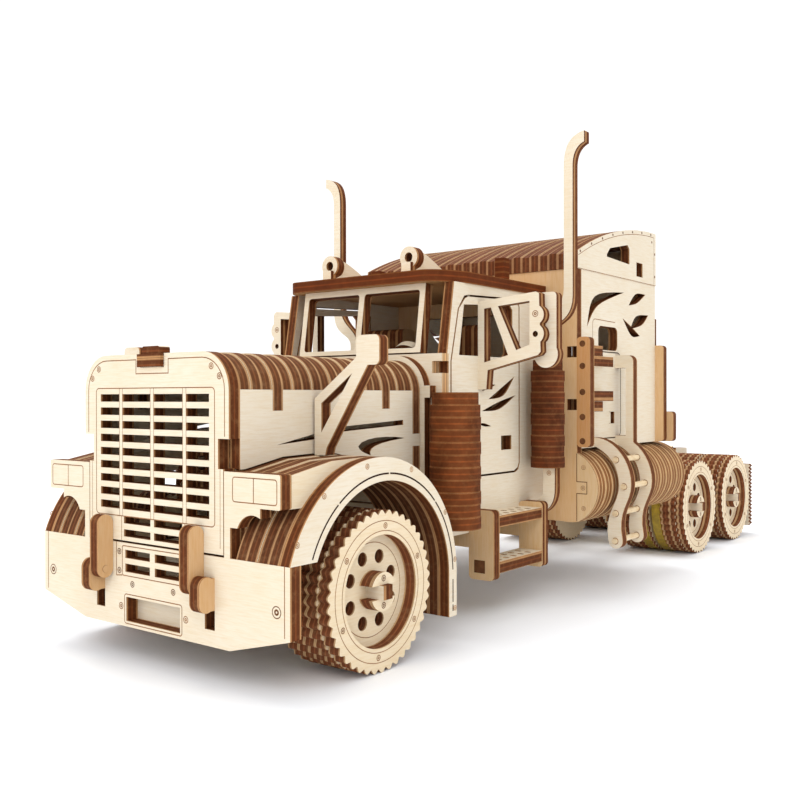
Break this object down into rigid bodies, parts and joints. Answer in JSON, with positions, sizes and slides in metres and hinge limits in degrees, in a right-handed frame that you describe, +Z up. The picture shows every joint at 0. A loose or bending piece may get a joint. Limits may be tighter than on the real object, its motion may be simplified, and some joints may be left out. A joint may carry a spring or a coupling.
{
  "type": "wooden model truck kit",
  "caption": "Laser-cut plywood model of a long-nosed sleeper tractor with tilting hood, swinging doors, steering front wheels and rolling rear axles.",
  "frame": {"origin": "floor level at the centre of the footprint, midway between the front levers and the mudflaps", "axes": "the truck faces -Y, +X is its left side, +Z is up; it stands on its wheels at Z = 0"},
  "size_m": [0.135, 0.3772, 0.1732],
  "materials": {
    "plywood": "laser-cut birch plywood, pale faces",
    "plywood_edge": "laser-cut birch plywood seen mostly on its scorched edges",
    "dowel": "smooth round hardwood stick",
    "band": "olive rubber band"
  },
  "bodies": {
    "chassis": {"frame_rails": "plywood", "crossmembers": "plywood", "bumper": "plywood", "number_plate": "plywood", "lever_brackets": "plywood", "headlamps": "plywood", "fenders": "plywood_edge", "fender_trims": "plywood", "fender_mirrors": "plywood", "engine_block": "plywood_edge", "front_axle_beam": "plywood", "cab_front_wall": "plywood", "cowl_arch": "plywood", "windscreen_frame": "plywood", "floors": "plywood", "cab_sides": "plywood", "cab_roof": "plywood", "roof_lamps": "plywood", "dashboard": "plywood_edge", "seats": "plywood_edge", "sleeper_front_wall": "plywood", "sleeper_sides": "plywood", "sleeper_gables": "plywood", "sleeper_roof": "plywood_edge", "sleeper_rear_wall": "plywood", "corner_strips": "plywood", "side_brackets": "plywood_edge", "rear_fairings": "plywood", "exhaust_stacks": "plywood", "mufflers": "plywood_edge", "exhaust_elbows": "plywood", "air_canisters": "plywood_edge", "step_boxes": "plywood", "fuel_tanks": "plywood_edge", "ladders": "plywood", "ladder_rungs": "dowel", "fifth_wheel": "plywood", "mudflaps": "plywood"},
    "hood": {"grille": "plywood", "hood_ribs": "plywood_edge", "hood_sides": "plywood", "hood_ornament": "plywood", "hood_pins": "dowel"},
    "door_l": {"door_left": "plywood", "door_mirror_left": "plywood"},
    "door_r": {"door_right": "plywood", "door_mirror_right": "plywood"},
    "lever_l": {"lever_left": "plywood"},
    "lever_r": {"lever_right": "plywood"},
    "knuckle_l": {"knuckle_left": "plywood"},
    "knuckle_r": {"knuckle_right": "plywood"},
    "wheel_l": {"front_wheel_left": "plywood_edge"},
    "wheel_r": {"front_wheel_right": "plywood_edge"},
    "tie": {"tie_rod": "plywood"},
    "steering": {"steering_wheel": "plywood"},
    "axle_1": {"rear_wheels_1": "plywood_edge", "rear_shaft_1": "dowel", "traction_bands": "band"},
    "axle_2": {"rear_wheels_2": "plywood_edge", "rear_shaft_2": "dowel"}
  },
  "joints": [
    {"name": "hood_tilt", "type": "hinge", "parent": "chassis", "child": "hood", "pos_m": [0, -0.18135, 0.045], "axis": [1, 0, 0], "range_deg": [0, 65]},
    {"name": "door_left_hinge", "type": "hinge", "parent": "chassis", "child": "door_l", "pos_m": [0.036, -0.07735, 0.08], "axis": [0, 0, -1], "range_deg": [0, 70]},
    {"name": "door_right_hinge", "type": "hinge", "parent": "chassis", "child": "door_r", "pos_m": [-0.036, -0.07735, 0.08], "axis": [0, 0, 1], "range_deg": [0, 70]},
    {"name": "lever_left_hinge", "type": "hinge", "parent": "chassis", "child": "lever_l", "pos_m": [0.02, -0.18605, 0.027], "axis": [1, 0, 0], "range_deg": [0, 95]},
    {"name": "lever_right_hinge", "type": "hinge", "parent": "chassis", "child": "lever_r", "pos_m": [-0.02, -0.18605, 0.027], "axis": [1, 0, 0], "range_deg": [0, 95]},
    {"name": "steer_left", "type": "hinge", "parent": "chassis", "child": "knuckle_l", "pos_m": [0.026, -0.14595, 0.0227], "axis": [0, 0, 1], "range_deg": [-15, 15]},
    {"name": "steer_right", "type": "hinge", "parent": "chassis", "child": "knuckle_r", "pos_m": [-0.026, -0.14595, 0.0227], "axis": [0, 0, 1], "range_deg": [-15, 15]},
    {"name": "front_wheel_left_spin", "type": "hinge", "parent": "knuckle_l", "child": "wheel_l", "pos_m": [0.043, -0.14595, 0.0227], "axis": [1, 0, 0], "continuous": true},
    {"name": "front_wheel_right_spin", "type": "hinge", "parent": "knuckle_r", "child": "wheel_r", "pos_m": [-0.043, -0.14595, 0.0227], "axis": [1, 0, 0], "continuous": true},
    {"name": "tie_rod_slide", "type": "slide", "parent": "chassis", "child": "tie", "axis": [1, 0, 0], "range_m": [-0.0048, 0.0048]},
    {"name": "steering_wheel_turn", "type": "hinge", "parent": "chassis", "child": "steering", "pos_m": [0.0135, -0.07985, 0.0896], "axis": [0, 0.866, 0.5], "range_deg": [-60, 60]},
    {"name": "rear_axle_1_spin", "type": "hinge", "parent": "chassis", "child": "axle_1", "pos_m": [0, 0.10615, 0.0227], "axis": [1, 0, 0], "continuous": true},
    {"name": "rear_axle_2_spin", "type": "hinge", "parent": "chassis", "child": "axle_2", "pos_m": [0, 0.16035, 0.0227], "axis": [1, 0, 0], "continuous": true}
  ],
  "couplings": [
    {"joint": "steer_right", "follows": "steer_left", "ratio": 1},
    {"joint": "tie_rod_slide", "follows": "steer_left", "m_per_rad": -0.017},
    {"joint": "steering_wheel_turn", "follows": "steer_left", "ratio": 4}
  ]
}
